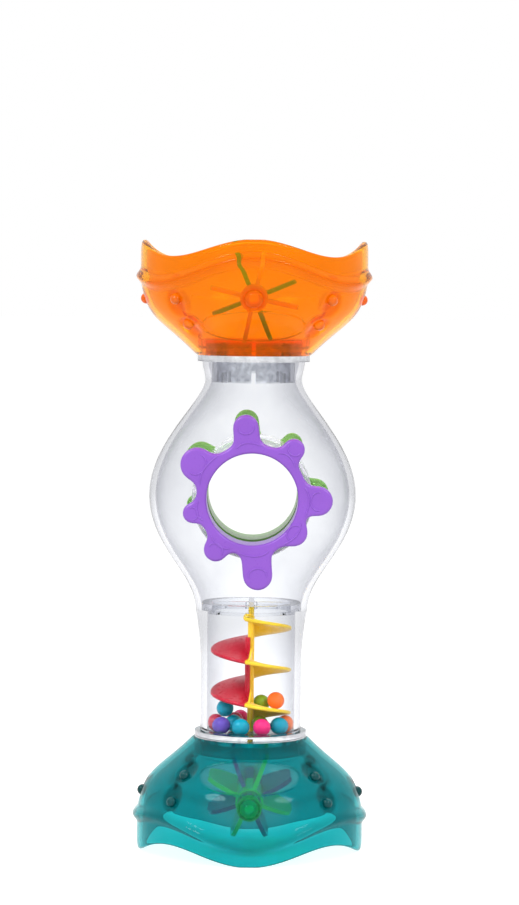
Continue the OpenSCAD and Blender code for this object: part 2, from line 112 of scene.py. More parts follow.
def grid_faces(rows, columns, looped_rows=False):
    """Faces of a grid whose columns close on themselves, and whose rows may too."""
    last = rows if looped_rows else rows - 1
    faces = []
    for i in range(last):
        low, high = i * columns, (i + 1) % rows * columns
        for j in range(columns):
            k = (j + 1) % columns
            faces.append((low + j, low + k, high + k, high + j))
    return faces


def capped_faces(rows, columns):
    """Faces of a grid whose columns close on themselves, with its first and last rows closed."""
    faces = grid_faces(rows, columns)
    faces.append(tuple(range(columns)))
    faces.append(tuple(range((rows - 1) * columns, rows * columns)))
    return faces


def lathe(profile, sides):
    """Points and faces of a closed outline of (radius, height) turned about Z."""
    points = []
    for r, z in profile:
        points += [(r * math.cos(TAU * j / sides), r * math.sin(TAU * j / sides), z) for j in range(sides)]
    return points, grid_faces(len(profile), sides, looped_rows=True)


def cylinder_along_y(y0, y1, r, z, sides):
    """Points and faces of a closed cylinder about an axis along Y."""
    points = []
    for y in (y0, y1):
        points += [(r * math.cos(TAU * j / sides), y, z + r * math.sin(TAU * j / sides)) for j in range(sides)]
    faces = grid_faces(2, sides)
    faces.append(tuple(range(sides)))
    faces.append(tuple(range(2 * sides - 1, sides - 1, -1)))
    return points, faces


def ball(centre, r, axis, sides, root=None):
    """Points and faces of a sphere whose poles lie on the axis, cut flat at a root below its middle."""
    turn = Vector((0, 0, 1)).rotation_difference(Vector(axis)).to_matrix()
    rings = sides // 2
    low = -r if root is None else -root
    points = []
    for i in range(1, rings):
        t = math.pi * i / rings
        for j in range(sides):
            a = TAU * j / sides
            spot = Vector((r * math.sin(t) * math.cos(a), r * math.sin(t) * math.sin(a), max(low, r * math.cos(t))))
            points.append(Vector(centre) + turn @ spot)
    faces = grid_faces(rings - 1, sides)
    for pole, row in ((r, 0), (low, (rings - 2) * sides)):
        points.append(Vector(centre) + turn @ Vector((0, 0, pole)))
        faces += [(len(points) - 1, row + j, row + (j + 1) % sides) for j in range(sides)]
    return points, faces


def sweep(path, r, sides):
    """Points and faces of a closed loop of round tube, from path items of (point, normal)."""
    points = []
    count = len(path)
    for i, (spot, normal) in enumerate(path):
        along = (path[(i + 1) % count][0] - path[i - 1][0]).normalized()
        side = along.cross(normal).normalized()
        up = side.cross(along)
        for j in range(sides):
            a = TAU * j / sides
            points.append(spot + side * (r * math.cos(a)) + up * (r * math.sin(a)))
    return points, grid_faces(count, sides, looped_rows=True)


def sweep_open(path, r, sides):
    """Points and faces of a round bar that tapers at its ends, from path items of (point, normal)."""
    points = []
    count = len(path)
    for i, (spot, normal) in enumerate(path):
        along = (path[min(i + 1, count - 1)][0] - path[max(i - 1, 0)][0]).normalized()
        side = along.cross(normal).normalized()
        up = side.cross(along)
        girth = r * (END_GIRTH_SHARE if i in (0, count - 1) else 1)
        for j in range(sides):
            a = TAU * j / sides
            points.append(spot + side * (girth * math.cos(a)) + up * (girth * math.sin(a)))
    return points, capped_faces(count, sides)


def joined(*parts):
    """Several (points, faces) pairs as one."""
    points, faces = [], []
    for more_points, more_faces in parts:
        start = len(points)
        points += more_points
        faces += [tuple(start + i for i in face) for face in more_faces]
    return points, faces


def combine(piece, operation, points, faces, crossing=False):
    """Unites a piece with a solid, or cuts it away; crossing says that the solid's own parts overlap."""
    tool = make_piece("tool", points, faces)
    modifier = piece.modifiers.new("combine", "BOOLEAN")
    modifier.operation = operation
    modifier.solver = "EXACT"
    modifier.use_self = crossing
    modifier.object = tool
    depsgraph = bpy.context.evaluated_depsgraph_get()
    mesh = bpy.data.meshes.new_from_object(piece.evaluated_get(depsgraph))
    piece.modifiers.clear()
    old = piece.data
    piece.data = mesh
    bpy.data.meshes.remove(old)
    bpy.data.objects.remove(tool)
    soften(piece)


def cubic(p, t):
    """The point at t on a cubic curve with four control rows."""
    w = ((1 - t) ** 3, 3 * t * (1 - t) ** 2, 3 * t * t * (1 - t), t ** 3)
    return [sum(w[i] * p[i][k] for i in range(4)) for k in range(len(p[0]))]


# Materials. Noise scales are in features per metre and depths in metres.

# The part of a noise's range that is used
NOISE_LOW, NOISE_HIGH = 0.3, 0.7
DRIFT_SCALE = 45
WEAR_SCALE, WEAR_SPREAD = 900, 0.06
GRAIN_SCALE, GRAIN_DEPTH = 2200, 0.00008
FLOW_SCALE, FLOW_STRENGTH, FLOW_DEPTH = 70, 0.06, 0.0004
CLEAR_WEAR_SCALE, CLEAR_WEAR_SPREAD = 300, 0.02
# Sockets of a colour Mix node
MIX_FACTOR, MIX_FIRST, MIX_SECOND, MIX_RESULT = 0, 6, 7, 2


def principled(name):
    """A new material with its Principled shader and node tree."""
    material = bpy.data.materials.new(name)
    material.use_nodes = True
    tree = material.node_tree
    return material, tree.nodes["Principled BSDF"], tree


def add_node(tree, kind, **settings):
    node = tree.nodes.new(kind)
    for key, value in settings.items():
        setattr(node, key, value)
    return node


def noise(tree, scale, detail=3.0, roughness=0.55):
    """Noise over the piece's own coordinates, with features of about 1 / scale metres."""
    place = add_node(tree, "ShaderNodeTexCoord")
    texture = add_node(tree, "ShaderNodeTexNoise")
    texture.inputs["Scale"].default_value = scale
    texture.inputs["Detail"].default_value = detail
    texture.inputs["Roughness"].default_value = roughness
    tree.links.new(place.outputs["Object"], texture.inputs["Vector"])
    return texture.outputs["Fac"]


def spread(tree, factor, low, high):
    """A noise's used part stretched over a range of values."""
    node = add_node(tree, "ShaderNodeMapRange")
    node.inputs["From Min"].default_value = NOISE_LOW
    node.inputs["From Max"].default_value = NOISE_HIGH
    node.inputs["To Min"].default_value = low
    node.inputs["To Max"].default_value = high
    tree.links.new(factor, node.inputs["Value"])
    return node.outputs["Result"]


def two_tones(tree, factor, first, second):
    """A colour that varies between two as a factor does."""
    ramp = add_node(tree, "ShaderNodeValToRGB")
    ramp.color_ramp.elements[0].position = NOISE_LOW
    ramp.color_ramp.elements[0].color = (*first, 1)
    ramp.color_ramp.elements[1].position = NOISE_HIGH
    ramp.color_ramp.elements[1].color = (*second, 1)
    tree.links.new(factor, ramp.inputs["Fac"])
    return ramp.outputs["Color"]


def bump(tree, shader, factor, strength, distance):
    node = add_node(tree, "ShaderNodeBump")
    node.inputs["Strength"].default_value = strength
    node.inputs["Distance"].default_value = distance
    tree.links.new(factor, node.inputs["Height"])
    tree.links.new(node.outputs["Normal"], shader.inputs["Normal"])


def linear(red, green, blue):
    """An sRGB colour of 0 to 255 as linear values."""
    def one(value):
        value /= 255
        return value / 12.92 if value <= 0.04045 else ((value + 0.055) / 1.055) ** 2.4
    return one(red), one(green), one(blue)


def shaded(colour, factor):
    return tuple(min(1, value * factor) for value in colour)


def moulded(name, colour, roughness, grain, tone=0.06, shine=0.25):
    """Opaque moulded plastic: faint tone drift, uneven polish and a fine surface grain."""
    material, shader, tree = principled(name)
    drift = noise(tree, DRIFT_SCALE)
    tree.links.new(two_tones(tree, drift, shaded(colour, 1 - tone), shaded(colour, 1 + tone)),
                   shader.inputs["Base Color"])
    wear = noise(tree, WEAR_SCALE, detail=2)
    tree.links.new(spread(tree, wear, roughness - WEAR_SPREAD, roughness + WEAR_SPREAD), shader.inputs["Roughness"])
    bump(tree, shader, noise(tree, GRAIN_SCALE, detail=2), grain, GRAIN_DEPTH)
    shader.inputs["Specular IOR Level"].default_value = shine
    return material


def blended(tree, factor, first, second):
    """The first colour where the factor is 0 and the second where it is 1; either may be an output."""
    mix = add_node(tree, "ShaderNodeMix", data_type="RGBA")
    tree.links.new(factor, mix.inputs[MIX_FACTOR])
    for slot, colour in ((MIX_FIRST, first), (MIX_SECOND, second)):
        if isinstance(colour, tuple):
            mix.inputs[slot].default_value = (*colour, 1)
        else:
            tree.links.new(colour, mix.inputs[slot])
    return mix.outputs[MIX_RESULT]


def edge_factor(tree, blend):
    """0 where a surface faces the eye and 1 where it turns away."""
    weight = add_node(tree, "ShaderNodeLayerWeight")
    weight.inputs["Blend"].default_value = blend
    return weight.outputs["Facing"]


def see_through(name, colour, roughness, lamp_colour, gleam, share=1.0, tone=0.05, ior=1.45, edge=None,
                edge_shade_blend=0.3, shade_and_thick_tint=None, window=None, drift_scale=60, polish=0.0):
    """Clear or tinted plastic that lamps shine through, with faint flow marks and uneven polish.

    Lamp_colour is what lamps' light keeps, gleam tints the reflection, and polish adds a clear one. Edge is a painted
    shade for a wall seen along itself, standing for the darker surroundings that a clear wall refracts. Window is the
    colour of the ovals and the wall before the wheel's hub. The colour of the dents round the studs, of the ridge and
    of the domes' feet is painted shade, and on the ridge it also stands for the deeper tint of the thicker wall.
    """
    material, shader, tree = principled(name)
    drift = noise(tree, drift_scale)
    tint = two_tones(tree, drift, shaded(colour, 1 - tone), shaded(colour, 1 + tone))
    # Painted shade: the tint turns grey where the wall turns from the eye, standing for the darker surroundings that
    # clear walls refract
    if edge:
        tint = blended(tree, edge_factor(tree, edge_shade_blend), tint, edge)
    if window:
        inside = add_node(tree, "ShaderNodeAttribute", attribute_name="window")
        tint = blended(tree, inside.outputs["Fac"], tint, window)
    # Painted shade deepens the tint in the dents, on the ridge and round the domes' feet; on the ridge it is partly the
    # thicker wall's deeper tint
    if shade_and_thick_tint:
        depth = add_node(tree, "ShaderNodeAttribute", attribute_name="shade_and_thick_tint")
        tint = blended(tree, depth.outputs["Fac"], tint, shade_and_thick_tint)
    tree.links.new(tint, shader.inputs["Base Color"])
    shader.inputs["Transmission Weight"].default_value = share
    shader.inputs["IOR"].default_value = ior
    shader.inputs["Specular Tint"].default_value = (*gleam, 1)
    shader.inputs["Coat Weight"].default_value = polish
    wear = noise(tree, CLEAR_WEAR_SCALE)
    tree.links.new(spread(tree, wear, max(0, roughness - CLEAR_WEAR_SPREAD), roughness + CLEAR_WEAR_SPREAD),
                   shader.inputs["Roughness"])
    bump(tree, shader, noise(tree, FLOW_SCALE, detail=1), FLOW_STRENGTH, FLOW_DEPTH)
    clear = add_node(tree, "ShaderNodeBsdfTransparent")
    clear.inputs["Color"].default_value = (*lamp_colour, 1)
    path = add_node(tree, "ShaderNodeLightPath")
    mix = add_node(tree, "ShaderNodeMixShader")
    tree.links.new(path.outputs["Is Shadow Ray"], mix.inputs["Fac"])
    tree.links.new(shader.outputs["BSDF"], mix.inputs[1])
    tree.links.new(clear.outputs["BSDF"], mix.inputs[2])
    tree.links.new(mix.outputs["Shader"], tree.nodes["Material Output"].inputs["Surface"])
    return material


CLEAR = (0.93, 0.94, 0.965)
CLEAR_LAMP = (0.96, 0.965, 0.98)
CLEAR_GLEAM = (0.3, 0.3, 0.33)
WHEEL_ROUGH = 0.16
GREEN_GLEAM = (0.5, 1.0, 0.5)
BEAD_ROUGH, BEAD_GRAIN = 0.16, 0.03
BEAD_COLOURS = {
    "bead_purple": linear(104, 80, 184),
    "bead_teal": linear(0, 160, 186),
    "bead_pink": linear(242, 44, 124),
    "bead_orange": linear(252, 118, 44),
    "bead_green": linear(128, 170, 36),
    "bead_red": linear(200, 22, 70),
}

MATERIALS = {
    # The clear plastic's greyer colour at its edges is painted shade
    "clear_plastic": see_through("clear_plastic", CLEAR, roughness=0.03, lamp_colour=CLEAR_LAMP, gleam=CLEAR_GLEAM,
                                 ior=1.25, edge=(0.22, 0.22, 0.28), edge_shade_blend=0.3),
    # The orange and teal tints' colours for the dents, the ridge and the domes' feet are painted shade
    "orange_tint": see_through("orange_tint", (1.0, 0.45, 0.006), roughness=0.03, lamp_colour=(0.98, 0.9, 0.82),
                               gleam=(1.0, 0.6, 0.35), share=0.93, ior=1.1, shade_and_thick_tint=(0.85, 0.22, 0.002), polish=0.15),
    "teal_tint": see_through("teal_tint", (0.008, 0.4, 0.43), roughness=0.03, lamp_colour=(0.93, 0.96, 0.96),
                             gleam=(0.45, 0.95, 1.0), share=0.92, ior=1.1, shade_and_thick_tint=(0.002, 0.13, 0.135),
                             window=(0.38, 0.54, 0.56), polish=0.12),
    "wheel_green": see_through("wheel_green", (0.08, 0.98, 0.16), roughness=WHEEL_ROUGH,
                               lamp_colour=(0.7, 0.97, 0.6), gleam=GREEN_GLEAM, share=0.25),
    "wheel_orange": see_through("wheel_orange", (1.0, 0.5, 0.04), roughness=WHEEL_ROUGH,
                                lamp_colour=(0.99, 0.8, 0.5), gleam=(1.0, 0.7, 0.4), share=0.6),
    "wheel_purple": see_through("wheel_purple", (1.0, 0.12, 0.34), roughness=WHEEL_ROUGH,
                                lamp_colour=(0.85, 0.7, 0.85), gleam=(0.8, 0.6, 0.85), share=0.3),
    "purple_plastic": moulded("purple_plastic", linear(146, 88, 206), roughness=0.32, grain=0.04, shine=0.45),
    "green_plastic": moulded("green_plastic", linear(138, 196, 98), roughness=0.32, grain=0.04, shine=0.45),
    "yellow_plastic": moulded("yellow_plastic", linear(254, 212, 54), roughness=0.3, grain=0.08),
    "red_plastic": moulded("red_plastic", linear(196, 24, 50), roughness=0.3, grain=0.08),
    "pale_plastic": moulded("pale_plastic", linear(236, 236, 243), roughness=0.4, grain=0.1),
}
for name, colour in BEAD_COLOURS.items():
    MATERIALS[name] = moulded(name, colour, roughness=BEAD_ROUGH, grain=BEAD_GRAIN)

# The plugs' greyer, streaky tint is painted shade for how their snaps and slots break up what shows through them; their
# greyer edges are painted shade too
PLUG_SHADED_CLEAR = see_through("plug_shaded_clear", (0.74, 0.75, 0.79), roughness=0.06, lamp_colour=(0.95, 0.955, 0.97),
                         gleam=CLEAR_GLEAM, tone=0.3, edge=(0.3, 0.3, 0.36), edge_shade_blend=0.35, drift_scale=420)

# The hole's lining is partly frosted, because light that is trapped in a clear one ends in black
LINING_CLEAR = see_through("lining_clear", CLEAR, roughness=0.08, lamp_colour=CLEAR_LAMP, gleam=CLEAR_GLEAM, share=0.6,
                           ior=1.1)

# The studs' colour is deeper than the walls'
STUD_TINTS = {
    "teal_tint": see_through("teal_stud", (0.001, 0.07, 0.075), roughness=0.1, lamp_colour=(0.8, 0.87, 0.875),
                             gleam=(0.7, 1.0, 1.0), share=0.3, ior=1.3, polish=0.1),
    "orange_tint": see_through("orange_stud", (0.85, 0.17, 0.004), roughness=0.1, lamp_colour=(0.98, 0.8, 0.6),
                               gleam=(1.0, 0.8, 0.6), share=0.3, ior=1.3, polish=0.2),
}

# The upper wheel's green half is a darker copy of the green, painted shade for the dimmer light inside the orange cup
SHADED_GREEN = see_through("shaded_green", (0.16, 0.46, 0.02), roughness=WHEEL_ROUGH, lamp_colour=(0.7, 0.9, 0.6),
                         gleam=GREEN_GLEAM, share=0.45)


def dress(piece, slot, body, *replaced):
    """Gives a new piece its slot's material and its body, and hides the CAD nodes that it stands for."""
    piece.data.materials.clear()
    piece.data.materials.append(MATERIALS[slot])
    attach(piece, body)
    if replaced:
        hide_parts(*replaced)
    return piece


# Every CAD node starts with its own slot's material, and new pieces then stand for some of them
for part in frame["record"]["subparts"]:
    node = nodes[part["node"]]
    node.data.materials.clear()
    node.data.materials.append(MATERIALS[part["material_slot"]])
# The plugs and the upper wheel's green half take materials with painted shade
for name, material in (("top_plug", PLUG_SHADED_CLEAR), ("bottom_plug", PLUG_SHADED_CLEAR), ("top_wheel_green", SHADED_GREEN)):
    nodes[name].data.materials.clear()
    nodes[name].data.materials.append(material)


# Cups: one closed shell each, drawn standing on its rim as the lower one stands

CUP_R = 41
CUP_NECK_R = 20.7
CUP_WALL = 2
SKIRT_H = 13
# The skirt draws in towards its rim, which waves between four flat tips
RIM_DRAFT = 0.5
RIM_DRAFT_H = 4
RIM_WAVE = 6
RIM_LAND = 0.027
RIM_EDGE_R = 0.75
# The ridge waves twice and four times round the cup, and takes a share of the dents' painted shade, which
# on the ridge also stands for the deeper tint of its thicker wall
RIDGE_H = 12.4
RIDGE_OUT = 1.6
RIDGE_REACH = 3.4
RIDGE_TWO, RIDGE_FOUR = 0.24, 0.2
RIDGE_TONE = 0.6
# Control rows of the shoulder as shares of its run in and up, and of the way in through its wall
SHOULDER = ((0, 0), (0.055, 0.555), (0.37, 0.54), (1, 1))
SHOULDER_WALL = ((1, 0), (1, 0.68), (0.44, 0.85), (0.47, 0.95))
SHOULDER_STEPS = 400
COLLAR_R = 17.5
COLLAR_WALL = 2
COLLAR_LEN = 6.2
COLLAR_STEP = 0.8
COLLAR_STEP_H = 2.8
COLLAR_EDGE = 0.2
STUD_R = 2
STUD_SINK = 0.6
STUD_ROOT = 0.7
# How far a face's middle may lie off the stud that it is part of
STUD_SLACK = 0.05
STUD_LOW_H, STUD_HIGH_H = 21.2, 30.2
DOME_R = 3.6
DOME_SINK = 1.08
# Width of the painted ring of shade round a dome's foot
DOME_RING = 0.35
DENT_HALF_W, DENT_HALF_H = 5, 6
DENT_DEEP = 0.85
DENT_RISE = 1.5
# How fast the painted shade in the dents deepens with their depth
DENT_SPREAD = 3
BOSS_R = 4.4
BOSS_FROM = 25
BORE_PAST = 0.2
PIN_R = 1.56
OVAL_H = 30.3
OVAL_HALF_W, OVAL_HALF_H = 19.2, 7.9
OVAL_LINE_R = 0.34
OVAL_STEPS = 96
# How steeply the clearer wall begins inside the ovals and before the wheel's hub
WINDOW_SLOPE = 6
HUB_HALF_W, HUB_HALF_H = 19, 8
HUB_SLOPE = 0.8
# Sides of the shell and of its round forms, and rows of points in a section of it
CUP_SIDES = 288
STUD_SIDES, DOME_SIDES, BOSS_SIDES, BORE_SIDES = 28, 40, 64, 40
RIM_EDGE_ROWS = 4
SKIRT_ROWS, INNER_SKIRT_ROWS = 9, 8
RIDGE_HALF_ROWS = 8
SHOULDER_ROWS, INNER_SHOULDER_ROWS = 46, 30
# Height to each side over which the wall's slope is taken
SLOPE_STEP = 0.2


def shoulder(t, inset=0):
    """A point (radius, height) of the cup's shoulder, from the skirt at 0 to the narrow end at 1."""
    across, up = cubic(SHOULDER, t)
    wall_across, wall_up = cubic(SHOULDER_WALL, t)
    return (CUP_R - across * (CUP_R - CUP_NECK_R) - wall_across * inset,
            SKIRT_H + up * (cup_h - SKIRT_H) - wall_up * inset)


SHOULDER_LEVELS = [shoulder(i / SHOULDER_STEPS)[1] for i in range(SHOULDER_STEPS + 1)]


def shoulder_share(h):
    """How far along the shoulder's curve a height lies, from 0 to 1."""
    i = min(max(bisect.bisect_left(SHOULDER_LEVELS, h), 1), SHOULDER_STEPS)
    low, high = SHOULDER_LEVELS[i - 1], SHOULDER_LEVELS[i]
    return min(1, (i - 1 + (h - low) / (high - low)) / SHOULDER_STEPS)


def cup_radius(h):
    """Outer radius of the plain wall at a height above the rim's tips."""
    if h <= SKIRT_H:
        lack = max(0, 1 - h / RIM_DRAFT_H)
        return CUP_R - RIM_DRAFT * lack * lack
    return shoulder(shoulder_share(h))[0]


def cup_spot(a, h):
    """Place and outward normal on the plain wall, at an angle from the front and a height."""
    rise = Vector((cup_radius(h + SLOPE_STEP) - cup_radius(h - SLOPE_STEP), 2 * SLOPE_STEP)).normalized()
    out = Vector((math.sin(a), -math.cos(a), 0))
    normal = out * rise.y - Vector((0, 0, rise.x))
    return out * cup_radius(h) + Vector((0, 0, h)), normal


def ridge_level(a):
    return RIDGE_H * (1 - RIDGE_TWO * math.cos(2 * a) - RIDGE_FOUR * math.cos(4 * a))


def rim_level(a):
    return RIM_WAVE * max(0, (1 - math.cos(4 * a)) / 2 - RIM_LAND)


# Studs as (angle from the front, height): a pair on each diagonal and one at each side
STUDS = [(math.radians(45 + 90 * i), h) for i in range(4) for h in (STUD_LOW_H, STUD_HIGH_H)]
STUDS += [(math.radians(turn), STUD_LOW_H) for turn in (90, 270)]


def dents():
    """Frames of the oval dents round the studs: middle, and the directions across and up the wall."""
    found = []
    for a, h in STUDS:
        spot, normal = cup_spot(a, h)
        across = Vector((math.cos(a), math.sin(a), 0))
        up = normal.cross(across)
        if up.z < 0:
            up = -up
        found.append((spot + up * DENT_RISE, across, up))
    return found


DENTS = dents()
STUD_MIDDLES = [spot - normal * STUD_SINK for spot, normal in (cup_spot(a, h) for a, h in STUDS)]
DOMES = [Vector((0, side * (cup_radius(axle_h) - DOME_SINK), axle_h)) for side in (-1, 1)]


def dent_depth(spot):
    """How deep the nearest of the oval dents is at a place on the wall."""
    depth = 0
    for middle, across, up in DENTS:
        away = spot - middle
        if away.length < 2 * DENT_HALF_H:
            d = (away.dot(across) / DENT_HALF_W) ** 2 + (away.dot(up) / DENT_HALF_H) ** 2
            if d < 1:
                depth = max(depth, DENT_DEEP * (1 - d) * (1 - d) * (1 + 2 * d))
    return depth


def round_edge(r, h, way):
    """Points of the rim's rounded edge below a face of the wall; way is -1 for the outer face and 1 for the inner."""
    turns = [math.pi / 2 * i / RIM_EDGE_ROWS for i in range(1, RIM_EDGE_ROWS + 1)]
    return [(r + way * RIM_EDGE_R * (1 - math.cos(t)), h + RIM_EDGE_R * (1 - math.sin(t))) for t in turns]


def cup_column(a):
    """Points of one upright section of the cup, from the rim up the outside and down the inside."""
    rim, ridge = rim_level(a), ridge_level(a)
    out = Vector((math.sin(a), -math.cos(a), 0))
    column = []

    def outer(h, proud=0):
        spot, normal = cup_spot(a, h)
        column.append(spot + out * proud - normal * dent_depth(spot))

    def plain(r, h):
        column.append(out * r + Vector((0, 0, h)))

    for r, h in reversed(round_edge(cup_radius(rim), rim, -1)):
        plain(r, h)
    foot, ridge_foot = rim + RIM_EDGE_R, ridge - RIDGE_REACH
    for i in range(SKIRT_ROWS):
        outer(foot + (ridge_foot - foot) * i / SKIRT_ROWS)
    for i in range(-RIDGE_HALF_ROWS, RIDGE_HALF_ROWS + 1):
        u = i / RIDGE_HALF_ROWS
        outer(ridge + RIDGE_REACH * u, RIDGE_OUT * (0.5 + 0.5 * math.cos(math.pi * u)))
    start = shoulder_share(ridge + RIDGE_REACH)
    for i in range(1, SHOULDER_ROWS):
        outer(shoulder(start + (1 - start) * i / SHOULDER_ROWS)[1])
    end, low = cup_h - SKIN, cup_h - COLLAR_LEN
    collar, step = COLLAR_R + COLLAR_WALL, COLLAR_R + COLLAR_WALL + COLLAR_STEP
    plain(CUP_NECK_R - COLLAR_EDGE, end)
    plain(COLLAR_R + COLLAR_EDGE, end)
    plain(COLLAR_R, end - COLLAR_EDGE)
    plain(COLLAR_R, low + COLLAR_EDGE)
    plain(COLLAR_R + COLLAR_EDGE, low)
    plain(step - COLLAR_EDGE, low)
    plain(step, low + COLLAR_EDGE)
    plain(step, end - COLLAR_STEP_H - COLLAR_EDGE)
    plain(step - COLLAR_EDGE, end - COLLAR_STEP_H)
    plain(collar, end - COLLAR_STEP_H)
    for i in range(INNER_SHOULDER_ROWS):
        r, h = shoulder(1 - i / INNER_SHOULDER_ROWS, CUP_WALL)
        plain(max(r, collar), h)
    for i in range(INNER_SKIRT_ROWS + 1):
        h = SKIRT_H + (foot - SKIRT_H) * i / INNER_SKIRT_ROWS
        plain(cup_radius(h) - CUP_WALL, h)
    for r, h in round_edge(cup_radius(rim) - CUP_WALL, rim, 1):
        plain(r, h)
    return column


def cup_points():
    """Points and faces of the shell: a loop of sections round the cup."""
    columns = [cup_column(TAU * j / CUP_SIDES) for j in range(CUP_SIDES)]
    rows = len(columns[0])
    points = [columns[j][i] for i in range(rows) for j in range(CUP_SIDES)]
    return points, grid_faces(rows, CUP_SIDES, looped_rows=True)


def upright_share():
    """Height gained per length up the wall at the ovals."""
    lean = cup_spot(0, OVAL_H)[1].z
    return math.sqrt(1 - lean * lean)


OVAL_UPRIGHT = upright_share()


def oval_line(turn):
    """A raised oval line on the wall, on the front or the back."""
    path = []
    for i in range(OVAL_STEPS):
        t = TAU * i / OVAL_STEPS
        h = OVAL_H + OVAL_HALF_H * math.sin(t) * OVAL_UPRIGHT
        path.append(cup_spot(turn + OVAL_HALF_W * math.cos(t) / cup_radius(h), h))
    return sweep(path, OVAL_LINE_R, LINE_SIDES)


def window_share(spot):
    """1 inside the front and back ovals and less before the wheel's hub, falling to 0 at their borders."""
    r = math.hypot(spot.x, spot.y)
    across = r * math.asin(min(1, abs(spot.x) / r)) / OVAL_HALF_W
    up = (spot.z - OVAL_H) / (OVAL_HALF_H * OVAL_UPRIGHT)
    oval = WINDOW_SLOPE * (1 - across * across - up * up)
    hub = HUB_SLOPE * (1 - (spot.x / HUB_HALF_W) ** 2 - ((spot.z - axle_h) / HUB_HALF_H) ** 2)
    return min(1, max(0, oval, hub))


def mark_wall(piece):
    """Keeps as attributes the painted shade of the dents, ridge and domes' feet, and where the wall is clearer."""
    shade_tint_marks = piece.data.attributes.new("shade_and_thick_tint", "FLOAT", "POINT")
    window_marks = piece.data.attributes.new("window", "FLOAT", "POINT")
    for vertex, shade_tint_mark, window_mark in zip(piece.data.vertices, shade_tint_marks.data, window_marks.data):
        spot = vertex.co / MM
        inward = cup_radius(spot.z) - math.hypot(spot.x, spot.y)
        # Painted shade in the dents round the studs
        if 0 < inward < DENT_DEEP / 2 + CUP_WALL / 2:
            shade_tint_mark.value = min(1, DENT_SPREAD * dent_depth(spot) / DENT_DEEP)
        # On the ridge the mark is partly painted shade and partly the deeper tint of its thicker wall
        ridge = ridge_level(math.atan2(spot.x, -spot.y))
        if inward < 0 and abs(spot.z - ridge) < RIDGE_REACH:
            shade_tint_mark.value = min(1, -inward / RIDGE_OUT) * RIDGE_TONE
        # A painted ring of shade round each dome's foot
        if abs(inward) < DOME_RING and min((spot - middle).length for middle in DOMES) < DOME_R + DOME_RING:
            shade_tint_mark.value = 1
        if abs(inward) < CUP_WALL / 2:
            window_mark.value = window_share(spot)


def stud_faces(piece):
    """The numbers of the studs' faces, which lie outside the wall on small spheres."""
    found = []
    for face in piece.data.polygons:
        spot = face.center / MM
        if cup_radius(spot.z) - math.hypot(spot.x, spot.y) < CUP_WALL / 2:
            if min((spot - middle).length for middle in STUD_MIDDLES) < STUD_R + STUD_SLACK:
                found.append(face.index)
    return found


def make_cups():
    """The lower cup, and the same moulding turned over for the upper one."""
    lower = make_piece("teal_cup", *cup_points())
    wall = cup_radius(axle_h)
    extras = [oval_line(0), oval_line(math.pi)]
    for (a, h), middle in zip(STUDS, STUD_MIDDLES):
        extras.append(ball(middle, STUD_R, cup_spot(a, h)[1], STUD_SIDES, STUD_ROOT))
    for middle in DOMES:
        extras.append(ball(middle, DOME_R, (0, middle.y, 0), DOME_SIDES))
    combine(lower, "UNION", *joined(*extras))
    bosses = [cylinder_along_y(*sorted((side * BOSS_FROM, side * (wall - CUP_WALL / 2))), BOSS_R, axle_h, BOSS_SIDES)
              for side in (-1, 1)]
    combine(lower, "UNION", *joined(*bosses))
    bore = wall - CUP_WALL / 2 + BORE_PAST
    combine(lower, "DIFFERENCE", *cylinder_along_y(-bore, bore, PIN_R, axle_h, BORE_SIDES))
    mark_wall(lower)
    upper = bpy.data.objects.new("orange_cup", lower.data.copy())
    scene.collection.objects.link(upper)
    upper.data.transform(Matrix.Translation((0, 0, total_h * MM)) @ Matrix.Rotation(math.pi, 4, "X"))
    dress(lower, "teal_tint", "body", "bottom_cup")
    dress(upper, "orange_tint", "body", "top_cup")
    solid = stud_faces(lower)
    for piece, slot in ((lower, "teal_tint"), (upper, "orange_tint")):
        piece.data.materials.append(STUD_TINTS[slot])
        for i in solid:
            piece.data.polygons[i].material_index = 1


make_cups()


# Clear body: bulb and bead tube as one shell, with the lined hole through it

BULB_HALF = 21
BULB_WALL = 2.2
NECK_R = 17.5
NECK_DROP = 6.6
NECK_STEPS = 6
BULB_END_R = 18.6
LOWER_SHARES = (0.32, 0.55)
UPPER_SHARES = (0.457, 0.821)
LOWER_SWELL = 0.5
SQUARE = 0.35
HOLE_R = 19.06
HOLE_WALL = 2.4
TUBE_R = 18.3
TUBE_INNER_R = 15.9
TUBE_FLARE_H = 22
TUBE_EDGE = 0.3
TUBE_STEPS = 12
BULB_ROWS = 44
BULB_SIDES = 176
HOLE_SIDES = 144


def bulb_rows():
    """Rows of (half width, half depth, height, squareness) from the seam up to the top end."""
    belly_h = hole_z - seam_z
    neck_z = bulb_top_z - NECK_DROP
    upper_h = neck_z - hole_z
    lower = ((seam_r, seam_r, seam_z, 0),
             (seam_r + LOWER_SWELL, BULB_HALF, seam_z + LOWER_SHARES[0] * belly_h, 0),
             (belly_r, BULB_HALF, seam_z + LOWER_SHARES[1] * belly_h, SQUARE),
             (belly_r, BULB_HALF, hole_z, SQUARE))
    upper = ((belly_r, BULB_HALF, hole_z, SQUARE),
             (belly_r, BULB_HALF, hole_z + UPPER_SHARES[0] * upper_h, SQUARE),
             (NECK_R, (NECK_R + BULB_HALF) / 2, hole_z + UPPER_SHARES[1] * upper_h, 0),
             (NECK_R, NECK_R, neck_z, 0))
    rows = [cubic(lower, i / BULB_ROWS) for i in range(BULB_ROWS)]
    rows += [cubic(upper, i / BULB_ROWS) for i in range(BULB_ROWS)]
    for i in range(NECK_STEPS + 1):
        t = i / NECK_STEPS
        r = NECK_R + (BULB_END_R - NECK_R) * t * t * (3 - 2 * t)
        rows.append([r, r, neck_z + (bulb_top_z - SKIN - neck_z) * t, 0])
    return rows


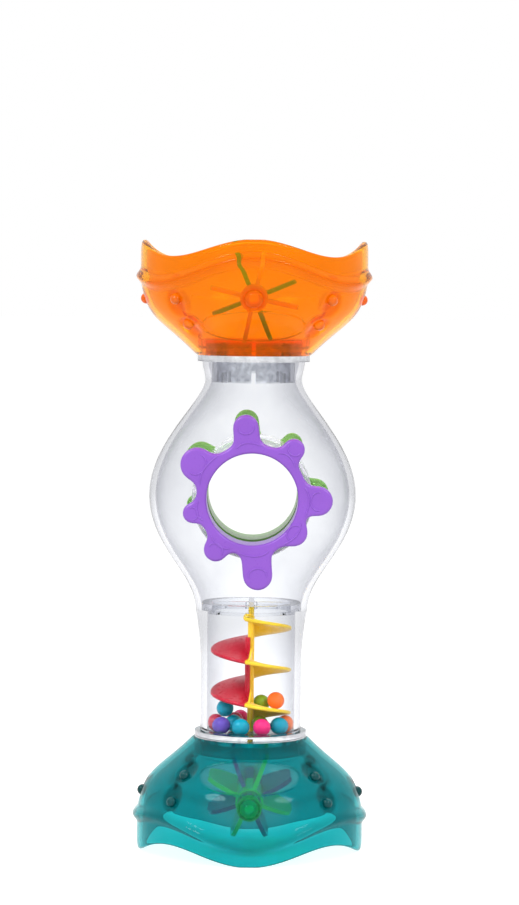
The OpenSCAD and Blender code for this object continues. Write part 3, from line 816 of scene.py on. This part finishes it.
def bulb_ring(row, inset):
    """One level of the shell, an ellipse drawn towards a square."""
    half_w, half_d, z, square = row
    power = 1 / (1 + square)
    ring = []
    for j in range(BULB_SIDES):
        a = TAU * j / BULB_SIDES
        c, s = math.cos(a), math.sin(a)
        x = math.copysign(abs(c) ** power, c) * (half_w - inset)
        y = math.copysign(abs(s) ** power, s) * (half_d - inset)
        ring.append((x, y, z))
    return ring


def tube_rows():
    """Rows of (radius, height) of the tube's outside, from its foot to the seam."""
    low = tube_z + SKIN
    flare = seam_z - TUBE_FLARE_H
    rows = [(TUBE_R - TUBE_EDGE, low)]
    rows += [(TUBE_R, low + TUBE_EDGE + (flare - low - TUBE_EDGE) * i / TUBE_STEPS) for i in range(TUBE_STEPS)]
    for i in range(TUBE_STEPS):
        t = i / TUBE_STEPS
        rows.append((TUBE_R + (seam_r - TUBE_R) * t * t, flare + TUBE_FLARE_H * t))
    return rows


def make_body():
    tube, bulb = tube_rows(), bulb_rows()
    ledge, foot = seam_z - SKIN, tube_z + SKIN
    points = []
    for r, z in tube:
        points += bulb_ring((r, r, z, 0), 0)
    for row in bulb:
        points += bulb_ring(row, 0)
    for row in reversed(bulb):
        points += bulb_ring(row, BULB_WALL)
    for i in range(TUBE_STEPS + 1):
        points += bulb_ring((TUBE_INNER_R, TUBE_INNER_R, ledge + (foot - ledge) * i / TUBE_STEPS, 0), 0)
    count = len(points) // BULB_SIDES
    piece = make_piece("clear_body", points, grid_faces(count, BULB_SIDES, looped_rows=True))
    combine(piece, "UNION", *cylinder_along_y(-seat_face, seat_face, HOLE_R + HOLE_WALL, hole_z, HOLE_SIDES))
    combine(piece, "DIFFERENCE", *cylinder_along_y(-2 * BULB_HALF, 2 * BULB_HALF, HOLE_R, hole_z, HOLE_SIDES))
    dress(piece, "clear_plastic", "body", "bulb_front", "bulb_back", "bead_tube")
    piece.data.materials.append(LINING_CLEAR)
    for face in piece.data.polygons:
        spot = face.center / MM
        if math.hypot(spot.x, spot.z - hole_z) < HOLE_R + HOLE_WALL:
            face.material_index = 1


make_body()


# Grip rings: one lobed outline with rounded edges, a rounded bore and raised lines

GRIP_FACE = 21.3
GRIP_T = 4.3
FINGER_R = 16.3
SLEEVE_R = 17.95
GRIP_EDGE_R = 1.1
GRIP_BACK_EDGE_R = 0.5
BORE_EDGE_R = 1.0
BORE_END_EDGE = 0.2
SLEEVE_END_EDGE = 0.3
GRIP_EDGE_STEPS, GRIP_BACK_STEPS, BORE_EDGE_STEPS = 6, 4, 5
# Rounds of points across the face, as shares of the way from the bore to the edge
FACE_SHARES = (0.2, 0.4, 0.6, 0.8)
# The outline: a ring with lobes and the width of the blend between them, found along rays to within a small gap
RING_R = 19.8
VALLEY = 3
OUTLINE_RAYS = 1440
OUTLINE_GAP = 0.01
GRIP_POINTS = 420
SMOOTH_ROUNDS = 6
# Each lobe's clockwise angle from up, and its shares of the longest reach and of a middling end's radius
LOBES = ((-5.5, 0.932, 0.92), (39.5, 0.833, 0.78), (91, 0.885, 1.05), (128, 0.735, 0.96),
         (175.4, 1, 1.05), (215.5, 0.812, 0.86), (256.5, 0.78, 0.72), (302, 0.9, 1.2))
LOBE_REACH = 32.4
LOBE_END_R = 5
# Raised lines: an arch before a lobe's end, in degrees and shares of the end's radius, and a curve at its root with
# control points of (distance from the bore, share of the end's radius across)
LINE_R = 0.32
LINE_SINK = 0.06
ARCH_TURN = 210
ARCH_W, ARCH_H = 0.62, 0.5
ARCH_STEPS = 16
ROOT_CURVE = ((2.2, -0.9), (5.5, -0.2), (2.4, 1.1))
ROOT_STEPS = 12


def outline_gap(spot):
    """How far a place lies outside the ring with its lobes, or inside if negative, with rounded valleys."""
    gap = spot.length - RING_R
    for turn, reach_share, end_share in LOBES:
        a = math.radians(turn)
        out = Vector((math.sin(a), math.cos(a)))
        end_r = LOBE_END_R * end_share
        along = min(max(spot.dot(out), 0), LOBE_REACH * reach_share - end_r)
        lobe = (spot - out * along).length - end_r
        near = max(VALLEY - abs(gap - lobe), 0)
        gap = min(gap, lobe) - near * near / (4 * VALLEY)
    return gap


def grip_outline():
    """The rings' outline as even points round the hole's axis."""
    corners = []
    for i in range(OUTLINE_RAYS):
        a = TAU * i / OUTLINE_RAYS
        out = Vector((math.cos(a), math.sin(a)))
        outside = LOBE_REACH + VALLEY
        while outline_gap(out * outside) > OUTLINE_GAP:
            outside -= max(outline_gap(out * outside), OUTLINE_GAP)
        corners.append(out * outside)
    return even_loop(corners, GRIP_POINTS)


def even_loop(corners, count):
    """A closed outline as points at even spacing, with its facets smoothed away."""
    lengths = [(corners[(i + 1) % len(corners)] - corner).length for i, corner in enumerate(corners)]
    step = sum(lengths) / count
    loop = []
    i, start = 0, 0.0
    for k in range(count):
        while start + lengths[i] < k * step:
            start += lengths[i]
            i += 1
        share = (k * step - start) / lengths[i]
        loop.append(corners[i].lerp(corners[(i + 1) % len(corners)], share))
    for _ in range(SMOOTH_ROUNDS):
        loop = [loop[k] * 0.5 + (loop[k - 1] + loop[(k + 1) % count]) * 0.25 for k in range(count)]
    return loop


def inset_loop(loop, distance):
    """The outline moved inwards along its own normals."""
    count = len(loop)
    moved = []
    for k, spot in enumerate(loop):
        along = (loop[(k + 1) % count] - loop[k - 1]).normalized()
        moved.append(spot - Vector((along.y, -along.x)) * distance)
    return moved


def circle_loop(loop, r):
    """Points of a circle, as many as an outline has and in step with them, without turning back."""
    first = math.atan2(loop[0].y, loop[0].x)
    turns = sorted((math.atan2(spot.y, spot.x) - first) % TAU for spot in loop)
    return [Vector((math.cos(first + turn), math.sin(first + turn))) * r for turn in turns]


def quarter(steps):
    """Sine and cosine pairs of a quarter turn."""
    return [(math.sin(math.pi / 2 * i / steps), math.cos(math.pi / 2 * i / steps)) for i in range(steps + 1)]


def grip_loops(node, side):
    """Closed rounds of points of a grip ring, from its bore over the face and edge to its sleeve."""
    low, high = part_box(node)
    outline = grip_outline()
    rounds = []

    def level(loop, depth):
        rounds.append([(spot.x, side * (GRIP_FACE + depth), hole_z + spot.y) for spot in loop])

    sleeve_len = GRIP_FACE - min(abs(low.y), abs(high.y)) / MM
    level(circle_loop(outline, FINGER_R + BORE_END_EDGE), -sleeve_len)
    level(circle_loop(outline, FINGER_R), -sleeve_len + BORE_END_EDGE)
    level(circle_loop(outline, FINGER_R), -sleeve_len / 2)
    for s, c in quarter(BORE_EDGE_STEPS):
        level(circle_loop(outline, FINGER_R + BORE_EDGE_R * (1 - c)), GRIP_T - BORE_EDGE_R * (1 - s))
    bore, face = circle_loop(outline, FINGER_R + BORE_EDGE_R), inset_loop(outline, GRIP_EDGE_R)
    for share in FACE_SHARES:
        level([a.lerp(b, share) for a, b in zip(bore, face)], GRIP_T)
    for s, c in quarter(GRIP_EDGE_STEPS):
        level(inset_loop(outline, GRIP_EDGE_R * (1 - s)), GRIP_T - GRIP_EDGE_R * (1 - c))
    for s, c in quarter(GRIP_BACK_STEPS):
        level(inset_loop(outline, GRIP_BACK_EDGE_R * (1 - c)), GRIP_BACK_EDGE_R * (1 - s))
    level(circle_loop(outline, SLEEVE_R), 0)
    level(circle_loop(outline, SLEEVE_R), -sleeve_len + SLEEVE_END_EDGE)
    level(circle_loop(outline, SLEEVE_R - SLEEVE_END_EDGE), -sleeve_len)
    return rounds


def lobe_lines():
    """Paths of the raised lines on the lobes: an arch before each end and a curve up from the root."""
    paths = []
    for turn, reach_share, end_share in LOBES:
        a = math.radians(turn)
        out, across = Vector((math.sin(a), math.cos(a))), Vector((math.cos(a), -math.sin(a)))
        end_r = LOBE_END_R * end_share
        middle = out * (LOBE_REACH * reach_share - end_r)
        arch = []
        for i in range(ARCH_STEPS + 1):
            t = math.radians(-ARCH_TURN / 2 + ARCH_TURN * i / ARCH_STEPS)
            arch.append(middle + across * (ARCH_W * end_r * math.sin(t)) - out * (ARCH_H * end_r * math.cos(t)))
        paths.append(arch)
        start, bend, stop = [out * (FINGER_R + rise) + across * (share * end_r) for rise, share in ROOT_CURVE]
        shares = [i / ROOT_STEPS for i in range(ROOT_STEPS + 1)]
        paths.append([start.lerp(bend, t).lerp(bend.lerp(stop, t), t) for t in shares])
    return paths


def raised_line(path, side):
    """A thin round line lying half sunk in a grip ring's face."""
    level = side * (GRIP_FACE + GRIP_T - LINE_SINK)
    spots = [Vector((p.x, level, hole_z + p.y)) for p in path]
    return sweep_open([(spot, Vector((0, side, 0))) for spot in spots], LINE_R, LINE_SIDES)


def make_grip(name, node, slot, side):
    rounds = grip_loops(node, side)
    points = [spot for loop in rounds for spot in loop]
    piece = make_piece(name, points, grid_faces(len(rounds), GRIP_POINTS, looped_rows=True))
    combine(piece, "UNION", *joined(*[raised_line(path, side) for path in lobe_lines()]), crossing=True)
    return dress(piece, slot, "hand_ring", node)


make_grip("purple_grip", "front_grip_ring", "purple_plastic", -1)
make_grip("green_grip", "rear_grip_ring", "green_plastic", 1)


# Spiral ramp: smooth half turns with rounded edges on the yellow post, and the red ones with their clip

FLOOR_DROP = 0.6
RAMP_R = 14.6
RAMP_T = 1.3
RAMP_TOP_DROP = 2.05
RAMP_CLEAR = 6.24
RAMP_TURNS = 2.25
RAMP_LAP = 8
RAMP_EDGE = 0.5
RAMP_EDGE_STEPS = 3
# Degrees of ramp between two sections
RAMP_STEP = 4
POST_R = 1.2
POST_PIN_R = 1
POST_EDGE = 0.15
POST_SIDES = 40
# Radius of the hair-thin hole that keeps the lathe's outline off its axis
POST_CORE_R = 0.01
CLIP_R = 1.3
CLIP_WALL = 0.9
CLIP_TURN = 3
CLIP_STEPS = 24
GUSSET_H = 5
GUSSET_LEN = 13
GUSSET_TIP_H = 1
GUSSET_TURN = 4
KNOB_R = 1.3
KNOB_SIDES = 24
KNOB_X, KNOB_Y, KNOB_DROP = -1.6, -1.2, 0.5
bead_floor_z = tube_z - FLOOR_DROP
ramp_top_z = seam_z - RAMP_TOP_DROP
ramp_pitch = (ramp_top_z - RAMP_T - bead_floor_z - RAMP_CLEAR) / RAMP_TURNS


def ramp_z(turn):
    return ramp_top_z - ramp_pitch * (turn + 90) / 360


def ramp_run(start, stop, inner):
    """Points and faces of a stretch of ramp between two angles, with a rounded outer edge."""
    section = [(inner, 0)]
    section += [(RAMP_R - RAMP_EDGE * (1 - s), -RAMP_EDGE * (1 - c)) for s, c in quarter(RAMP_EDGE_STEPS)]
    section += [(RAMP_R - RAMP_EDGE * (1 - c), -RAMP_T + RAMP_EDGE * (1 - s)) for s, c in quarter(RAMP_EDGE_STEPS)]
    section.append((inner, -RAMP_T))
    steps = round((stop - start) / RAMP_STEP)
    points = []
    for i in range(steps + 1):
        turn = start + (stop - start) * i / steps
        a = math.radians(turn)
        points += [(r * math.cos(a), r * math.sin(a), ramp_z(turn) + rise) for r, rise in section]
    return points, capped_faces(steps + 1, len(section))


def upright(r, z0, z1):
    """Points and faces of a round post with bevelled ends."""
    face_r = r - POST_EDGE
    profile = [(POST_CORE_R, z0), (face_r, z0), (r, z0 + POST_EDGE),
               (r, z1 - POST_EDGE), (face_r, z1), (POST_CORE_R, z1)]
    return lathe(profile, POST_SIDES)


def gusset(turn):
    """Upright web along the front edge of a yellow half turn."""
    a = math.radians(turn)
    out, side = Vector((math.cos(a), math.sin(a), 0)), Vector((-math.sin(a), math.cos(a), 0))
    foot = ramp_z(turn) - RAMP_T / 2
    corners = ((0, foot), (GUSSET_LEN, foot), (GUSSET_LEN, foot + GUSSET_TIP_H), (0, foot + GUSSET_H))
    points = []
    for thick in (0, RAMP_T / 2):
        points += [out * r + side * thick + Vector((0, 0, z)) for r, z in corners]
    return points, capped_faces(2, len(corners))


def make_ramps():
    pin_low, pin_high = (v.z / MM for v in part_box("spiral_yellow"))
    parts = [upright(POST_R, bead_floor_z, ramp_top_z), upright(POST_PIN_R, pin_low, pin_high)]
    parts += [ramp_run(turn - 90 - RAMP_LAP, turn + 90, POST_R / 2) for turn in (0, 360, 720)]
    parts += [gusset(turn - 90 - RAMP_LAP + GUSSET_TURN) for turn in (360, 720)]
    parts.append(ball((KNOB_X, KNOB_Y, ramp_top_z - KNOB_DROP), KNOB_R, (0, 0, 1), KNOB_SIDES))
    yellow = make_piece("yellow_ramp", *parts[0])
    combine(yellow, "UNION", *joined(*parts[1:]), crossing=True)
    dress(yellow, "yellow_plastic", "body", "spiral_yellow")

    runs = [ramp_run(turn + 90, turn + 270 - RAMP_LAP, CLIP_R + CLIP_WALL / 2) for turn in (0, 360)]
    clip_low, clip_high = ramp_z(630 - RAMP_LAP) - RAMP_T, ramp_z(90)
    section = ((CLIP_R, clip_low), (CLIP_R + CLIP_WALL, clip_low), (CLIP_R + CLIP_WALL, clip_high), (CLIP_R, clip_high))
    points = []
    for i in range(CLIP_STEPS + 1):
        a = math.radians(90 + CLIP_TURN + (180 - RAMP_LAP - 2 * CLIP_TURN) * i / CLIP_STEPS)
        points += [(r * math.cos(a), r * math.sin(a), z) for r, z in section]
    red = make_piece("red_ramp", points, capped_faces(CLIP_STEPS + 1, len(section)))
    combine(red, "UNION", *joined(*runs))
    dress(red, "red_plastic", "body", "spiral_red")


make_ramps()


# Stage, in metres: pale floor, white surroundings and soft lamps

def white_for_sight(tree):
    """1 for rays that show the surroundings to the camera, straight, mirrored or through clear plastic."""
    path = add_node(tree, "ShaderNodeLightPath")
    seen = path.outputs["Is Camera Ray"]
    for name in ("Is Glossy Ray", "Is Transmission Ray"):
        either = add_node(tree, "ShaderNodeMath", operation="MAXIMUM")
        tree.links.new(seen, either.inputs[0])
        tree.links.new(path.outputs[name], either.inputs[1])
        seen = either.outputs["Value"]
    return seen


WORLD_LIGHT = 0.68
FLOOR_SIZE = 30
FLOOR_ALBEDO = 0.7
# The glow makes up what the floor's own light lacks of white
FLOOR_WHITE = 1.01
FLOOR_GLOW = FLOOR_WHITE - WORLD_LIGHT * FLOOR_ALBEDO


def make_world():
    world = bpy.data.worlds.new("studio")
    scene.world = world
    world.use_nodes = True
    tree = world.node_tree
    light = tree.nodes["Background"]
    light.inputs["Color"].default_value = (1, 1, 1, 1)
    light.inputs["Strength"].default_value = WORLD_LIGHT
    white = add_node(tree, "ShaderNodeBackground")
    white.inputs["Color"].default_value = (1, 1, 1, 1)
    white.inputs["Strength"].default_value = 1
    mix = add_node(tree, "ShaderNodeMixShader")
    tree.links.new(white_for_sight(tree), mix.inputs["Fac"])
    tree.links.new(light.outputs["Background"], mix.inputs[1])
    tree.links.new(white.outputs["Background"], mix.inputs[2])
    tree.links.new(mix.outputs["Shader"], tree.nodes["World Output"].inputs["Surface"])


def make_floor():
    """A pale floor that stays white to sight where nothing shades it."""
    mesh = bpy.data.meshes.new("floor")
    half = FLOOR_SIZE / 2
    mesh.from_pydata([(-half, -half, 0), (half, -half, 0), (half, half, 0), (-half, half, 0)], [], [(0, 1, 2, 3)])
    floor = bpy.data.objects.new("floor", mesh)
    scene.collection.objects.link(floor)
    material = bpy.data.materials.new("floor")
    material.use_nodes = True
    tree = material.node_tree
    tree.nodes.remove(tree.nodes["Principled BSDF"])
    matt = add_node(tree, "ShaderNodeBsdfDiffuse")
    matt.inputs["Color"].default_value = (FLOOR_ALBEDO, FLOOR_ALBEDO, FLOOR_ALBEDO, 1)
    glow = add_node(tree, "ShaderNodeEmission")
    strength = add_node(tree, "ShaderNodeMath", operation="MULTIPLY")
    tree.links.new(white_for_sight(tree), strength.inputs[0])
    strength.inputs[1].default_value = FLOOR_GLOW
    tree.links.new(strength.outputs["Value"], glow.inputs["Strength"])
    both = add_node(tree, "ShaderNodeAddShader")
    tree.links.new(matt.outputs["BSDF"], both.inputs[0])
    tree.links.new(glow.outputs["Emission"], both.inputs[1])
    tree.links.new(both.outputs["Shader"], tree.nodes["Material Output"].inputs["Surface"])
    floor.data.materials.append(material)


def make_lamp(name, place, target, size, power):
    """A soft oval lamp aimed at a place, with its power in watts."""
    lamp = bpy.data.lights.new(name, "AREA")
    lamp.shape = "ELLIPSE"
    lamp.size, lamp.size_y = size
    lamp.energy = power
    lamp_object = bpy.data.objects.new(name, lamp)
    scene.collection.objects.link(lamp_object)
    lamp_object.location = place
    aim = Vector(target) - Vector(place)
    lamp_object.rotation_euler = aim.to_track_quat("-Z", "Y").to_euler()


make_world()
make_floor()
make_lamp("key", place=(-0.8, -0.8, 1.15), target=(0, 0, 0.11), size=(0.55, 0.45), power=9)
make_lamp("fill", place=(0.8, -0.85, 1.05), target=(0, 0, 0.11), size=(0.5, 0.4), power=6)
make_lamp("top", place=(0.1, 0.35, 1.2), target=(0, 0, 0.1), size=(0.8, 0.6), power=3.5)


# Camera, in metres, at the photograph's angle in its frame, which is 519 by 905 pixels

PICTURE_H = 905
FOCAL_PIXELS = 3205
# Sensor width in millimetres
SENSOR = 36
CAMERA_FAR = 100
CAMERA_PLACE = Vector((0.0039, -1.1578, 0.2074))
CAMERA_TARGET = Vector((0.0024, 0, 0.1442))
CAMERA_ROLL = math.radians(0.545)


def make_camera():
    camera = bpy.data.cameras.new("camera")
    camera.sensor_width = SENSOR
    camera.lens = FOCAL_PIXELS * SENSOR / PICTURE_H
    camera.clip_end = CAMERA_FAR
    camera_object = bpy.data.objects.new("camera", camera)
    scene.collection.objects.link(camera_object)
    aim = (CAMERA_TARGET - CAMERA_PLACE).to_track_quat("-Z", "Y").to_matrix().to_4x4()
    camera_object.matrix_world = Matrix.Translation(CAMERA_PLACE) @ aim @ Matrix.Rotation(CAMERA_ROLL, 4, "Z")
    scene.camera = camera_object


make_camera()
scene.view_settings.view_transform = "Standard"
